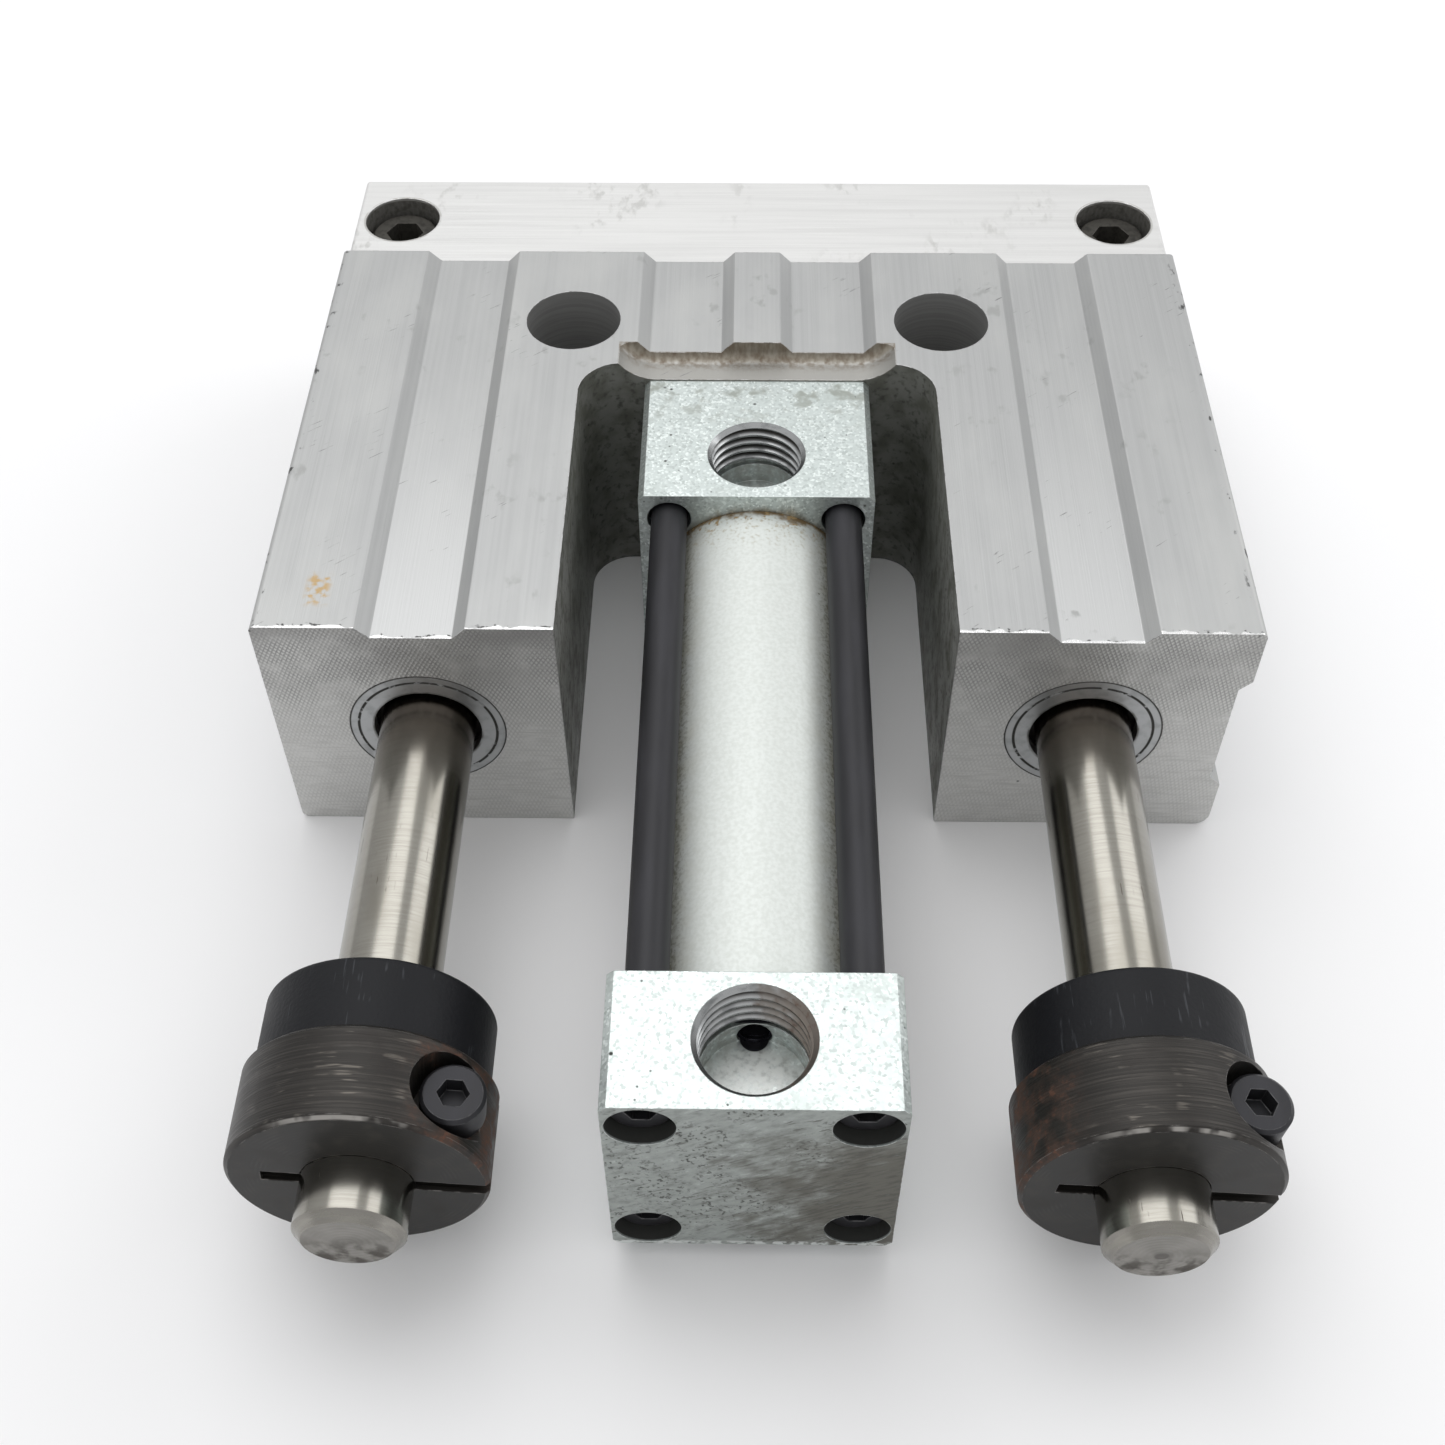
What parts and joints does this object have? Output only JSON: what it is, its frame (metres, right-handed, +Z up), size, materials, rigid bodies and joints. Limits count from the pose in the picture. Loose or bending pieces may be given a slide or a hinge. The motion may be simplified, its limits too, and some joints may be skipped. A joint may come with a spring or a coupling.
{
  "type": "guided pneumatic slide",
  "caption": "Compact pneumatic guided slide: a square-headed air cylinder in a U-shaped housing pushes a tool plate carried on two guide shafts with stop collars.",
  "frame": {"origin": "midway between the two mounting holes, on the underside of the housing", "axes": "+Y along the shafts, the way the tool plate travels; +Z up through the mounting holes; +X right"},
  "size_m": [0.1228, 0.1692, 0.0373],
  "materials": {
    "extruded_aluminium": "satin, extruded and sawn",
    "zinc_plated_head": "speckled, clear passivated",
    "anodised_tube": "clear anodised, satin",
    "black_oxide_steel": "black oxide, oiled",
    "seal_rubber": "moulded",
    "bronze": "turned bronze",
    "bearing_steel": "turned",
    "bearing_polymer": "filled polymer",
    "ground_steel": "ground",
    "machined_aluminium": "bright milled",
    "magnet": "plastic bonded ferrite",
    "brown_oxide_steel": "black oxide worn brown",
    "black_rubber": "moulded"
  },
  "bodies": {
    "frame": {"housing": "extruded_aluminium", "cap_end_head": "zinc_plated_head", "rod_end_head": "zinc_plated_head", "cylinder_tube": "anodised_tube", "tie_bolts": "black_oxide_steel", "tube_seal_front": "seal_rubber", "tube_seal_rear": "seal_rubber", "cushion_pad_front": "seal_rubber", "cushion_pad_rear": "seal_rubber", "rod_seal": "seal_rubber", "rod_bushing": "bronze", "bearing_shell_front_left": "bearing_steel", "bearing_shell_front_right": "bearing_steel", "bearing_shell_rear_left": "bearing_steel", "bearing_shell_rear_right": "bearing_steel", "bearing_ring_front_left": "bearing_steel", "bearing_ring_front_right": "bearing_steel", "bearing_ring_rear_left": "bearing_steel", "bearing_ring_rear_right": "bearing_steel", "bearing_liner_front_left": "bearing_polymer", "bearing_liner_front_right": "bearing_polymer", "bearing_liner_rear_left": "bearing_polymer", "bearing_liner_rear_right": "bearing_polymer"},
    "carriage": {"guide_shaft_left": "ground_steel", "guide_shaft_right": "ground_steel", "tool_plate": "machined_aluminium", "plate_pinch_screws": "black_oxide_steel", "piston_rod": "ground_steel", "piston": "machined_aluminium", "piston_seals": "seal_rubber", "piston_magnet": "magnet", "piston_nut": "black_oxide_steel", "rod_screw": "black_oxide_steel"},
    "stop_left": {"collar_left": "brown_oxide_steel", "collar_screw_left": "black_oxide_steel", "bumper_left": "black_rubber"},
    "stop_right": {"collar_right": "brown_oxide_steel", "collar_screw_right": "black_oxide_steel", "bumper_right": "black_rubber"}
  },
  "joints": [
    {"name": "carriage_slide", "type": "slide", "parent": "frame", "child": "carriage", "axis": [0, 1, 0], "range_m": [0, 0.0426]},
    {"name": "stop_left_setting", "type": "slide", "parent": "carriage", "child": "stop_left", "axis": [0, -1, 0], "range_m": [0, 0.006]},
    {"name": "stop_right_setting", "type": "slide", "parent": "carriage", "child": "stop_right", "axis": [0, -1, 0], "range_m": [0, 0.006]}
  ]
}
